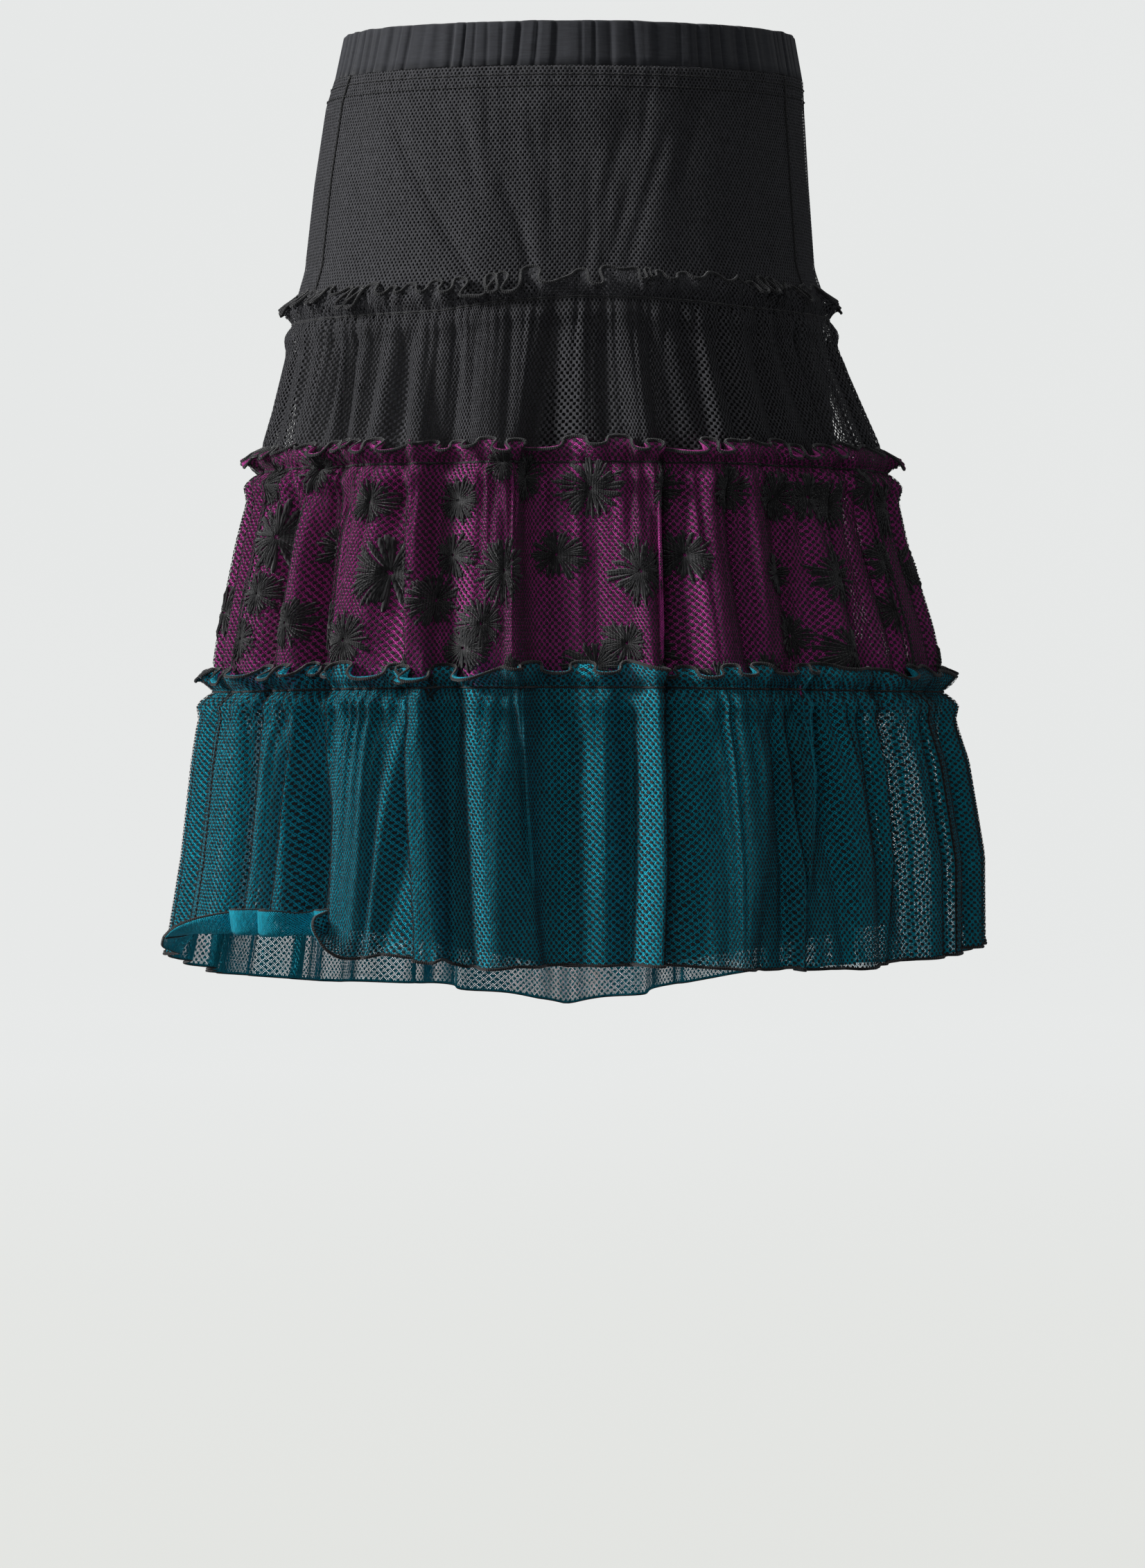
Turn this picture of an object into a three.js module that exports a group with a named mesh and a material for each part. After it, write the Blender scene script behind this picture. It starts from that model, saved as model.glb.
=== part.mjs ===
// Tiered midi skirt: gathered waistband, net yoke over a lining, three gathered net tiers.
// Millimetres, +Z up, the back of the skirt faces -Y. The origin is the middle of the waistband.
// Angles go round from the left side seam (-X) by the back (-Y) and the right (+X) to the front.

import * as THREE from "three";

// Waistband
const BAND_HALF_HEIGHT = 14;
const BAND_WALL = 3;
const BAND_WAVE = 1;

// Walls and the space between neighbours
const SEAM_GAP = 0.3;
const YOKE_WALL = 1.2;
const LINING_WALL = 1.2;
const OUTER_NET_WALL = 1.8;
const UNDER_NET_WALL = 1.6;
const UNDER_NET_DEPTH = OUTER_NET_WALL + SEAM_GAP;

// Gathered tiers
const TIER_TOP = -163;
const TIER_BOTTOM = -570;
const HEADING_FLARE = 4.5;
const HEADING_WAVE = 2;
const SEAM_WAVE = 1.2;
const TUCK = 8;
const FOLD_ROOM = 0.12;
const COLUMNS_PER_GATHER = 3;

// Yoke and lining
const YOKE_INSET = 2 * SEAM_WAVE + OUTER_NET_WALL + SEAM_GAP;

const YOKE_HEIGHTS = [-BAND_HALF_HEIGHT - SEAM_GAP, -38, -85, -130];

// Turned-up hem at the left of the back
const HEM_STRIP = 18;
const FOLD_STEP = 4.5;
const TURN = THREE.MathUtils.degToRad(165);

// Outer half breadths and half depths of the body part (waistband and yoke)
const BODY = [
  { z: 14, left: 145, right: 141, back: 98, front: 97 },
  { z: -14, left: 151, right: 146, back: 103, front: 100 },
  { z: -31, left: 156.5, right: 147, back: 107, front: 102 },
  { z: -80, left: 164, right: 150, back: 117, front: 106 },
  { z: -128, left: 169.5, right: 153.5, back: 123.5, front: 108.5 },
];

// The same for the crests of the tiers
const TIERS = [
  { z: -146, left: 174, right: 158.5, back: 129, front: 113.5 },
  { z: -162.5, left: 179, right: 164, back: 131, front: 115.5 },
  { z: -177, left: 180.5, right: 167.5, back: 135, front: 120 },
  { z: -200, left: 186, right: 176, back: 142, front: 130 },
  { z: -225, left: 192, right: 187, back: 149, front: 141 },
  { z: -263, left: 203, right: 204, back: 160, front: 157 },
  { z: -307, left: 215, right: 214.5, back: 171, front: 171 },
  { z: -361, left: 226, right: 231, back: 184, front: 187 },
  { z: -401, left: 232, right: 239, back: 194, front: 198 },
  { z: -424, left: 240, right: 247, back: 199, front: 204 },
  { z: -446, left: 243.5, right: 254, back: 203, front: 209 },
  { z: -506, left: 250, right: 264, back: 213, front: 220 },
  { z: -570, left: 260.5, right: 264, back: 222, front: 229 },
  { z: -620, left: 264, right: 266, back: 227, front: 234 },
];

// The same for the lining below the yoke
const LINING = [
  { z: -401, left: 184, right: 184, back: 141, front: 143 },
  { z: -540, left: 203, right: 203, back: 158, front: 162 },
  { z: -610, left: 206, right: 206, back: 162, front: 170 },
];

// Heights round the skirt, one column per seam or edge
const LEVELS = [
  { degrees: 0, first: -162.5, second: -263, third: -401.5, hem: -565, liningHem: -545 },
  { degrees: 25, first: -161.5, second: -262, third: -400.5, hem: -562, liningHem: -542 },
  { degrees: 50, first: -159.5, second: -260.5, third: -398, hem: -560, liningHem: -540 },
  { degrees: 63, first: -158.7, second: -260, third: -397, hem: -555, liningHem: -539 },
  { degrees: 76, first: -158.2, second: -259.5, third: -396.5, hem: -565, liningHem: -538 },
  { degrees: 90, first: -158, second: -259.5, third: -396.5, hem: -564, liningHem: -538 },
  { degrees: 104, first: -158.2, second: -259.5, third: -396.5, hem: -565, liningHem: -538 },
  { degrees: 117, first: -159, second: -260, third: -397.5, hem: -571, liningHem: -540 },
  { degrees: 132, first: -160, second: -261, third: -398.5, hem: -573, liningHem: -542 },
  { degrees: 150, first: -161.5, second: -262, third: -400, hem: -569, liningHem: -544 },
  { degrees: 180, first: -162.5, second: -263, third: -401.5, hem: -563, liningHem: -548 },
  { degrees: 205, first: -163.5, second: -266, third: -406, hem: -578, liningHem: -556 },
  { degrees: 240, first: -165, second: -272, third: -415, hem: -597, liningHem: -578 },
  { degrees: 257, first: -166, second: -275, third: -420, hem: -605, liningHem: -596 },
  { degrees: 271, first: -166, second: -275, third: -421, hem: -617, liningHem: -598 },
  { degrees: 286, first: -165.5, second: -274, third: -417, hem: -602, liningHem: -580 },
  { degrees: 310, first: -164.5, second: -270, third: -411, hem: -590, liningHem: -562 },
  { degrees: 335, first: -163.2, second: -265, third: -405, hem: -578, liningHem: -552 },
  { degrees: 360, first: -162.5, second: -263, third: -401.5, hem: -565, liningHem: -545 },
];

// Large folds: the angle of each valley at the first seam and at the hem, its half width,
// and its depth at the second seam, the third seam and the hem
const VALLEYS = [
  { top: 17, hem: 16, width: 10, second: 3, third: 6, edge: 8 },
  { top: 32, hem: 34, width: 9, second: 2, third: 11, edge: 14 },
  { top: 42, hem: 50, width: 11, second: 8, third: 12, edge: 15 },
  { top: 54, hem: 67, width: 10, second: 6, third: 11, edge: 14 },
  { top: 61, hem: 77, width: 12, second: 12, third: 20, edge: 24 },
  { top: 67, hem: 86, width: 9, second: 3, third: 5, edge: 7 },
  { top: 83, hem: 89, width: 10, second: 11, third: 19, edge: 22 },
  { top: 90, hem: 101.5, width: 9, second: 5, third: 10, edge: 12 },
  { top: 115, hem: 106.5, width: 13, second: 12, third: 21, edge: 26 },
  { top: 133, hem: 116.5, width: 9, second: 6, third: 9, edge: 11 },
  { top: 139, hem: 126, width: 10, second: 6, third: 10, edge: 13 },
  { top: 149, hem: 142, width: 10, second: 6, third: 9, edge: 12 },
  { top: 164, hem: 161, width: 10, second: 3, third: 6, edge: 9 },
  { top: 199, hem: 197, width: 10, second: 4, third: 9, edge: 12 },
  { top: 216, hem: 219, width: 11, second: 8, third: 13, edge: 16 },
  { top: 236, hem: 233, width: 11, second: 6, third: 14, edge: 19 },
  { top: 249, hem: 250, width: 10, second: 7, third: 11, edge: 13 },
  { top: 263, hem: 262, width: 10, second: 5, third: 10, edge: 14 },
  { top: 281, hem: 284, width: 13, second: 11, third: 18, edge: 23 },
  { top: 302, hem: 299, width: 10, second: 6, third: 11, edge: 15 },
  { top: 319, hem: 321, width: 12, second: 8, third: 15, edge: 20 },
  { top: 343, hem: 341, width: 10, second: 4, third: 8, edge: 11 },
];
const SECOND_SHARE = 0.245;
const THIRD_SHARE = 0.585;

// Soft upright creases in the yoke: angle at the waist and at the seam, half width, depth
const CREASES = [
  { top: 30, seam: 44, width: 9, depth: 1.2 },
  { top: 58, seam: 66, width: 9, depth: 1.6 },
  { top: 74, seam: 79, width: 8, depth: 2 },
  { top: 90, seam: 90, width: 8, depth: 1.8 },
  { top: 105, seam: 101, width: 8, depth: 2 },
  { top: 122, seam: 115, width: 9, depth: 1.5 },
  { top: 150, seam: 136, width: 9, depth: 1.2 },
  { top: 228, seam: 238, width: 9, depth: 1.3 },
  { top: 262, seam: 264, width: 8, depth: 1.7 },
  { top: 280, seam: 277, width: 8, depth: 1.5 },
  { top: 312, seam: 302, width: 9, depth: 1.3 },
];

// How the gathers crowd and spread along each half panel
const UNEVEN = {
  band: [{ turns: 4, reach: 0.008 }, { turns: 9, reach: 0.006 }],
  black: [{ turns: 3, reach: 0.016 }, { turns: 8, reach: 0.008 }],
  plum: [{ turns: 5, reach: 0.012 }, { turns: 7, reach: 0.01 }],
  teal: [{ turns: 4, reach: 0.015 }, { turns: 11, reach: 0.006 }],
};

// Colours as they look in the photo
const SLATE = 0x2c3039;
const BLACK_NET = 0x1d1c21;
const LINING_BLACK = 0x15161c;
const DAISY_BLACK = 0x3a2034;
const PLUM = 0x6d2a58;
const VEIL = 0x17464f;
const TEAL = 0x0f6a78;

// Panels between the side seams, with the gathers that fall in each
const PANELS = [
  { side: "back", from: 23, to: 155, yokeColumns: 13, band: 16, black: 16, plum: 15, teal: 18 },
  { side: "front", from: 155, to: 383, yokeColumns: 23, band: 28, black: 28, plum: 25, teal: 32 },
];

function mix(from, to, share) {
  return from + (to - from) * share;
}

function clampShare(value) {
  return Math.min(1, Math.max(0, value));
}

// A smooth step from 0 to 1 between two values
function ease(from, to, value) {
  const share = clampShare((value - from) / (to - from));
  return share * share * (3 - 2 * share);
}

// The column of a table between the two rows nearest to a value of its key
function readTable(table, key, column, value) {
  const falling = table[0][key] > table[1][key];
  let upper = 1;
  while (upper < table.length - 1 && (falling ? value < table[upper][key] : value > table[upper][key])) {
    upper += 1;
  }
  const before = table[upper - 1];
  const after = table[upper];
  return mix(before[column], after[column], clampShare((value - before[key]) / (after[key] - before[key])));
}

function level(column, angle) {
  const degrees = THREE.MathUtils.radToDeg(angle) % 360;
  return readTable(LEVELS, "degrees", column, degrees);
}

// A point of the oval ring at one height, with the outward direction there
function ring(table, angle, z) {
  const breadth = readTable(table, "z", Math.cos(angle) > 0 ? "left" : "right", z);
  const depth = readTable(table, "z", Math.sin(angle) > 0 ? "back" : "front", z);
  const point = new THREE.Vector3(-breadth * Math.cos(angle), -depth * Math.sin(angle), z);
  const outward = new THREE.Vector3(-Math.cos(angle) / breadth, -Math.sin(angle) / depth, 0).normalize();
  return { point, outward, radius: (breadth + depth) / 2 };
}

// Distance in degrees the short way round
function turnBetween(angle, degrees) {
  const apart = THREE.MathUtils.radToDeg(angle) - degrees;
  return apart - 360 * Math.round(apart / 360);
}

function hollow(angle, degrees, width, radius) {
  const away = (THREE.MathUtils.degToRad(turnBetween(angle, degrees)) * radius) / width;
  return Math.exp(-0.5 * away * away);
}

// Depth of the large folds at one angle and height
function valleyDepth(angle, z, radius) {
  const share = clampShare((TIER_TOP - z) / (TIER_TOP - TIER_BOTTOM));
  let depth = 0;
  for (const valley of VALLEYS) {
    const high = mix(0, valley.second, clampShare(share / SECOND_SHARE));
    const middle = mix(high, valley.third, clampShare((share - SECOND_SHARE) / (THIRD_SHARE - SECOND_SHARE)));
    const size = mix(middle, valley.edge, clampShare((share - THIRD_SHARE) / (1 - THIRD_SHARE)));
    depth += size * hollow(angle, mix(valley.top, valley.hem, share), valley.width, radius);
  }
  return depth;
}

// Depth of the yoke's creases, fading in below the waistband and out above the seam
function creaseDepth(angle, z, radius) {
  const share = clampShare((z + BAND_HALF_HEIGHT) / (TIER_TOP + BAND_HALF_HEIGHT));
  let depth = 0;
  for (const crease of CREASES) {
    depth += crease.depth * hollow(angle, mix(crease.top, crease.seam, share), crease.width, radius);
  }
  return depth * ease(0, 0.2, share) * (1 - ease(0.7, 1, share));
}

// Place of a gather's phase along a half panel, pushed to and fro so the gathers are uneven
function spread(share, uneven) {
  let moved = share;
  for (const term of uneven) {
    moved += term.reach * Math.sin(Math.PI * term.turns * share);
  }
  return moved;
}

// Angle of a share of one panel, stopping half a seam gap short of each side seam
function panelAngle(panel, share, radius) {
  const margin = SEAM_GAP / 2 / radius;
  const from = THREE.MathUtils.degToRad(panel.from) + margin;
  const to = THREE.MathUtils.degToRad(panel.to) - margin;
  return mix(from, to, share);
}

// Gather wave: nothing at the crest, twice the size inwards in the valley
function wave(size, phase) {
  return -size * (1 - Math.cos(phase));
}

function gatherPhase(gathers, share) {
  return Math.PI + 2 * Math.PI * gathers * share;
}

// Closed wall over a grid: rows from top to bottom, columns with growing angle
function wallGeometry(columns, rows, outerAt, innerAt) {
  const positions = [];
  const faces = [];
  for (const surface of [outerAt, innerAt]) {
    for (let row = 0; row < rows; row += 1) {
      for (let column = 0; column <= columns; column += 1) {
        positions.push(...surface(column, row).toArray());
      }
    }
  }
  const outer = (column, row) => row * (columns + 1) + column;
  const inner = (column, row) => (rows + row) * (columns + 1) + column;
  const addQuad = (a, b, c, d) => faces.push(a, b, c, a, c, d);
  for (let column = 0; column < columns; column += 1) {
    for (let row = 0; row < rows - 1; row += 1) {
      addQuad(outer(column, row), outer(column, row + 1), outer(column + 1, row + 1), outer(column + 1, row));
      addQuad(inner(column, row), inner(column + 1, row), inner(column + 1, row + 1), inner(column, row + 1));
    }
    const last = rows - 1;
    addQuad(outer(column, 0), outer(column + 1, 0), inner(column + 1, 0), inner(column, 0));
    addQuad(outer(column, last), inner(column, last), inner(column + 1, last), outer(column + 1, last));
  }
  for (let row = 0; row < rows - 1; row += 1) {
    addQuad(outer(0, row + 1), outer(0, row), inner(0, row), inner(0, row + 1));
    addQuad(outer(columns, row), outer(columns, row + 1), inner(columns, row + 1), inner(columns, row));
  }
  const geometry = new THREE.BufferGeometry();
  geometry.setAttribute("position", new THREE.Float32BufferAttribute(positions, 3));
  geometry.setIndex(faces);
  geometry.computeVertexNormals();
  return geometry;
}

function addPiece(group, name, geometry, color, roughness) {
  const material = new THREE.MeshStandardMaterial({ color, roughness, metalness: 0 });
  material.name = name;
  const mesh = new THREE.Mesh(geometry, material);
  mesh.name = name;
  group.add(mesh);
}

// Waistband: a crest column and a valley column for each gather
function bandGeometry(panel) {
  const columns = 2 * panel.band;
  const heights = [BAND_HALF_HEIGHT, -BAND_HALF_HEIGHT];
  const pointAt = (column, row, depth) => {
    const share = column / columns;
    const z = heights[row];
    const place = ring(BODY, panelAngle(panel, spread(share, UNEVEN.band), BODY[0].back), z);
    const inset = wave(BAND_WAVE, gatherPhase(panel.band, share)) - depth;
    return place.point.addScaledVector(place.outward, inset);
  };
  return wallGeometry(
    columns,
    heights.length,
    (column, row) => pointAt(column, row, 0),
    (column, row) => pointAt(column, row, BAND_WALL),
  );
}

// A point at a depth under the yoke's outer face; its last row lies inside the first tier's seam
function yokePoint(angle, row, depth) {
  if (row === YOKE_HEIGHTS.length) {
    const seam = ring(TIERS, angle, level("first", angle));
    return seam.point.addScaledVector(seam.outward, -YOKE_INSET - depth);
  }
  const z = YOKE_HEIGHTS[row];
  const place = ring(BODY, angle, z);
  return place.point.addScaledVector(place.outward, -creaseDepth(angle, z, place.radius) - depth);
}

function yokeGeometry(panel) {
  const angleAt = (column) => panelAngle(panel, column / panel.yokeColumns, BODY[0].back);
  return wallGeometry(
    panel.yokeColumns,
    YOKE_HEIGHTS.length + 1,
    (column, row) => yokePoint(angleAt(column), row, 0),
    (column, row) => yokePoint(angleAt(column), row, YOKE_WALL),
  );
}

// Lining: parallel to the yoke down to its seam, then a plain flared drop to its own hem
function liningGeometry(panel) {
  const yokeRows = YOKE_HEIGHTS.length + 1;
  const pointAt = (column, row, depth) => {
    const angle = panelAngle(panel, column / panel.yokeColumns, BODY[0].back);
    if (row < yokeRows) {
      return yokePoint(angle, row, YOKE_WALL + SEAM_GAP + depth);
    }
    const z = row === yokeRows ? level("third", angle) : level("liningHem", angle);
    const place = ring(LINING, angle, z);
    return place.point.addScaledVector(place.outward, -depth);
  };
  return wallGeometry(
    panel.yokeColumns,
    yokeRows + 2,
    (column, row) => pointAt(column, row, 0),
    (column, row) => pointAt(column, row, LINING_WALL),
  );
}

// Gathers are livelier in some places than in others
function liveliness(angle) {
  return 1 + 0.18 * Math.sin(3 * angle + 0.7) + 0.12 * Math.sin(8 * angle + 2.1);
}

// One place on a tier: its outer point and the direction into the wall
function tierPlace(angle, z, offset) {
  const place = ring(TIERS, angle, z);
  const inset = offset - valleyDepth(angle, z, place.radius);
  return {
    point: place.point.addScaledVector(place.outward, inset),
    inward: place.outward.clone().negate(),
  };
}

// Heading, seam and body of a tier that is tucked behind the seam of the next one
function tuckedPlace(tier, angle, phase, row) {
  const seam = level(tier.seam, angle);
  const next = level(tier.next, angle);
  if (row === 0) {
    return tierPlace(angle, seam + tier.heading, HEADING_FLARE + wave(HEADING_WAVE, phase));
  }
  if (row === 1) {
    return tierPlace(angle, seam, wave(SEAM_WAVE, phase));
  }
  if (row < 4) {
    const size = tier.waves[row - 2] * liveliness(angle);
    return tierPlace(angle, mix(seam, next, tier.shares[row - 2]), wave(size, phase));
  }
  const z = next - TUCK;
  const radius = ring(TIERS, angle, z).radius;
  const room = tier.tuckInset + FOLD_ROOM * valleyDepth(angle, z, radius);
  return tierPlace(angle, z, wave(1, phase) - room);
}

// How far the hem is turned up, from 0 to 1
function turnUp(angle) {
  const degrees = THREE.MathUtils.radToDeg(angle);
  return ease(23, 38, degrees) * (1 - ease(51, 62, degrees));
}

// The last tier hangs free; at the left of the back its hem strip folds outwards and up
function hemPlace(tier, angle, phase, row) {
  if (row < 2) {
    return tuckedPlace(tier, angle, phase, row);
  }
  const seam = level(tier.seam, angle);
  const hem = level("hem", angle);
  const size = tier.waves[Math.min(row - 2, 2)] * liveliness(angle);
  if (row < 4) {
    return tierPlace(angle, mix(seam, hem, tier.shares[row - 2]), wave(size, phase));
  }
  const edge = tierPlace(angle, hem, wave(size, phase));
  if (!tier.turned) {
    return edge;
  }
  const fold = tierPlace(angle, hem + HEM_STRIP, wave(size, phase));
  const outward = fold.inward.clone().negate();
  const down = edge.point.clone().sub(fold.point);
  const length = down.length();
  down.normalize();
  const turn = TURN * turnUp(angle);
  const steer = (amount, across, along) =>
    outward.clone().multiplyScalar(across).addScaledVector(down, along).multiplyScalar(amount);
  if (row === 4) {
    return { point: fold.point, inward: steer(1, -Math.cos(turn / 4), Math.sin(turn / 4)) };
  }
  const bottom = fold.point.clone().add(steer(FOLD_STEP, Math.sin(turn / 2), Math.cos(turn / 2)));
  if (row === 5) {
    return { point: bottom, inward: steer(1, -Math.cos(0.75 * turn), Math.sin(0.75 * turn)) };
  }
  const tip = bottom.add(steer(length - FOLD_STEP, Math.sin(turn), Math.cos(turn)));
  return { point: tip, inward: steer(1, -Math.cos(turn), Math.sin(turn)) };
}

// One net of a tier, from a depth below the tier's outer face to that depth plus its wall
function netGeometry(panel, tier, depth, wall) {
  const gathers = panel[tier.name];
  const columns = gathers * COLUMNS_PER_GATHER;
  const free = tier.next === "hem";
  const turned = free && panel.side === "back";
  const shaped = { ...tier, turned };
  const placeAt = free ? hemPlace : tuckedPlace;
  const pointAt = (column, row, inset) => {
    const share = column / columns;
    const angle = panelAngle(panel, spread(share, UNEVEN[tier.name]), TIERS[0].back);
    const place = placeAt(shaped, angle, gatherPhase(gathers, share), row);
    return place.point.addScaledVector(place.inward, inset);
  };
  return wallGeometry(
    columns,
    turned ? 7 : 5,
    (column, row) => pointAt(column, row, depth),
    (column, row) => pointAt(column, row, depth + wall),
  );
}

const BLACK_TIER = {
  name: "black",
  seam: "first",
  next: "second",
  heading: 16,
  shares: [0.18, 0.66],
  waves: [2.1, 2.1],
  tuckInset: 7.8,
};
const PLUM_TIER = {
  name: "plum",
  seam: "second",
  next: "third",
  heading: 14,
  shares: [0.15, 0.72],
  waves: [3, 2.2],
  tuckInset: 9,
};
const TEAL_TIER = {
  name: "teal",
  seam: "third",
  next: "hem",
  heading: 14,
  shares: [0.14, 0.5],
  waves: [2.8, 2.2, 1.8],
};

const skirt = new THREE.Group();
skirt.name = "tiered_midi_skirt";
for (const panel of PANELS) {
  const { side } = panel;
  const outerNet = (tier) => netGeometry(panel, tier, 0, OUTER_NET_WALL);
  const underNet = (tier) => netGeometry(panel, tier, UNDER_NET_DEPTH, UNDER_NET_WALL);
  addPiece(skirt, `waistband_${side}`, bandGeometry(panel), SLATE, 0.9);
  addPiece(skirt, `yoke_${side}`, yokeGeometry(panel), BLACK_NET, 0.92);
  addPiece(skirt, `lining_${side}`, liningGeometry(panel), LINING_BLACK, 0.8);
  addPiece(skirt, `black_tier_${side}`, outerNet(BLACK_TIER), BLACK_NET, 0.9);
  addPiece(skirt, `daisy_net_${side}`, outerNet(PLUM_TIER), DAISY_BLACK, 0.9);
  addPiece(skirt, `plum_net_${side}`, underNet(PLUM_TIER), PLUM, 0.85);
  addPiece(skirt, `veil_net_${side}`, outerNet(TEAL_TIER), VEIL, 0.9);
  addPiece(skirt, `teal_net_${side}`, underNet(TEAL_TIER), TEAL, 0.85);
}

export default skirt;
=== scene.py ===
"""Tiered midi skirt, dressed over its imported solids.

Lengths in the tables are millimetres, +Z is up and the back of the skirt faces -Y. Angles go round
from the left side (-X) by the back (-Y) and the right (+X) to the front.
"""

import math

import bpy
import numpy as np
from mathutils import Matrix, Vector


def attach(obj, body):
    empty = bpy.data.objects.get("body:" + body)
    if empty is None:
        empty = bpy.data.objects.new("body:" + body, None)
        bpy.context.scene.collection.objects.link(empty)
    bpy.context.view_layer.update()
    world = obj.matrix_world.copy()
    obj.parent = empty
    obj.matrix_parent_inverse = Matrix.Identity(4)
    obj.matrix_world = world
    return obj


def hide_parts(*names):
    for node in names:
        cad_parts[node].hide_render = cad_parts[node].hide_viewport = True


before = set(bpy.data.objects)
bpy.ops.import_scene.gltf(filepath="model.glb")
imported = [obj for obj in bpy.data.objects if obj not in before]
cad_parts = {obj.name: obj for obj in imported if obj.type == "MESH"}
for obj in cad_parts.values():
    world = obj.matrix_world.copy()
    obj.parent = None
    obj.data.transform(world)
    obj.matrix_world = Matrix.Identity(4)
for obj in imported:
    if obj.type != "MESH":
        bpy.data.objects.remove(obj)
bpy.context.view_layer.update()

bl_info = {
    "name": "Tiered midi skirt",
    "version": (1, 0, 0),
    "blender": (4, 5, 0),
    "location": "3D View > Sidebar > Skirt",
    "description": "Gathered waistband, net yoke, lining and three gathered net tiers",
    "category": "Add Mesh",
}

MM = 0.001
BAND_HALF_HEIGHT = 14
BAND_WALL = 3
BAND_DROP = 14.3
BAND_FULLNESS = 1.25
TIER_TOP = -163
TIER_BOTTOM = -570
YOKE_DROP = 148
YOKE_INSET = 4.5
YOKE_TO_LINING = 1.5
LINING_DROPS = (240, 145)
LINING_RIPPLES = 9
TUCK = 8
TUCK_EASE = (3, 19)
HEM_STRIP = 21
HEM_BEND = 8
HEM_TURN = math.radians(168)
CURL_STARTS = (6, 40)
CURL_STOPS = (51, 61)
LAYER_GAP = 1.0
GROOVE_WIDTH = 2.2
PUFF_DROP = 9
PUFF_WIDTH = 5.5
GATHERING_CORD = 0.6
SEAM_CORD = 0.8
FRONT_DAISIES = 45
FRONT_LINES = 3
WAVE = 2 * math.pi * 1000

BODY = {
    "z": (14, -14, -31, -80, -128),
    "left": (145, 151, 156.5, 164, 169.5),
    "right": (141, 146, 147, 150, 153.5),
    "back": (98, 103, 107, 117, 123.5),
    "front": (97, 100, 102, 106, 108.5),
}
TIERS = {
    "z": (-146, -162.5, -177, -200, -225, -263, -307, -361, -401, -424, -446, -506, -570, -620),
    "left": (174, 179, 180.5, 186, 192, 203, 215, 226, 232, 240, 243.5, 250, 260.5, 264),
    "right": (158.5, 164, 167.5, 176, 187, 204, 214.5, 231, 239, 247, 254, 264, 264, 266),
    "back": (129, 131, 135, 142, 149, 160, 171, 184, 194, 199, 203, 213, 222, 227),
    "front": (113.5, 115.5, 120, 130, 141, 157, 171, 187, 198, 204, 209, 220, 229, 234),
}
LINING = {
    "z": (-401, -540, -610),
    "left": (184, 203, 206),
    "right": (184, 203, 206),
    "back": (141, 158, 162),
    "front": (143, 162, 170),
}
LEVELS = {
    "degrees": (0, 25, 50, 63, 76, 90, 104, 117, 132, 150, 180, 205, 240, 257, 271, 286, 310, 335, 360),
    "first": (-169, -168, -167, -166, -160.5, -158, -158.2, -160, -163, -164.5, -165.5, -165.5, -166,
        -166.5, -167, -167, -167.5, -168, -169),
    "second": (-263, -262, -260.5, -260, -259.5, -259.5, -259.5, -260, -261, -262, -263, -266, -272,
        -275, -275, -274, -270, -265, -263),
    "third": (-401.5, -400.5, -398, -397, -396.5, -396.5, -396.5, -397.5, -398.5, -400, -401.5, -406,
        -415, -420, -421, -417, -411, -405, -401.5),
    "hem": (-567, -566, -566, -558, -565, -564, -563, -567, -568, -564, -560, -578, -591, -605, -617,
        -603, -598, -587, -567),
    "lining_hem": (-545, -542, -540, -539, -538, -538, -538, -540, -542, -544, -548, -556, -577, -587,
        -588, -578, -562, -552, -545),
}

# Large folds: angle of each valley at the first seam and at the hem, half width, depth at the second
# seam, the third seam and the hem, the power that gives its shape (2 is a bell, more is a flat floor
# between steep walls), and how far the fold leans over as a share of its depth
VALLEYS = {
    "top": (17, 32, 38, 54, 64, 67, 86, 95, 100, 110.5, 133, 139, 149, 164, 199, 216, 236, 249, 263,
        281, 302, 319, 343),
    "hem": (16, 34, 51, 66, 75.5, 86, 88.6, 92.3, 97, 106, 117.5, 126, 142, 161, 197, 219, 233, 250,
        262, 284, 299, 321, 341),
    "width": (8, 7, 12, 5, 9.5, 7, 12, 26, 4, 7, 11, 8, 8, 8, 9, 9, 8, 14, 8, 10, 8, 14, 8),
    "second": (3, 2, 10, 6, 15, 3, 21, 6, 3, 14, 6, 6, 6, 3, 4, 8, 6, 7, 5, 11, 6, 8, 4),
    "third": (7, 10, 22, 9, 26, 7, 16, 17, 4, 26, 13, 11, 10, 7, 10, 15, 16, 12, 11, 20, 12, 17, 9),
    "edge": (9, 13, 26, 10, 28, 9, 12, 21, 5, 28, 17, 15, 15, 10, 14, 19, 22, 16, 17, 26, 17, 23, 13),
    "power": (2, 2, 5, 2, 4, 2, 2, 7, 2, 2, 4, 2, 2, 2, 2, 2, 2, 5, 2, 2, 2, 5, 2),
    "lean": (0.3, -0.5, 0, 0.9, -0.25, 0.5, -0.7, 0, 0.9, -0.6, 0.2, -0.7, -0.3, 0.5, -0.7, 0.7, -0.6,
        0, -0.8, 0.7, -0.7, 0, 0.5),
}
FOLD_SHARES = (0, 0.245, 0.585, 1)

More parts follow.
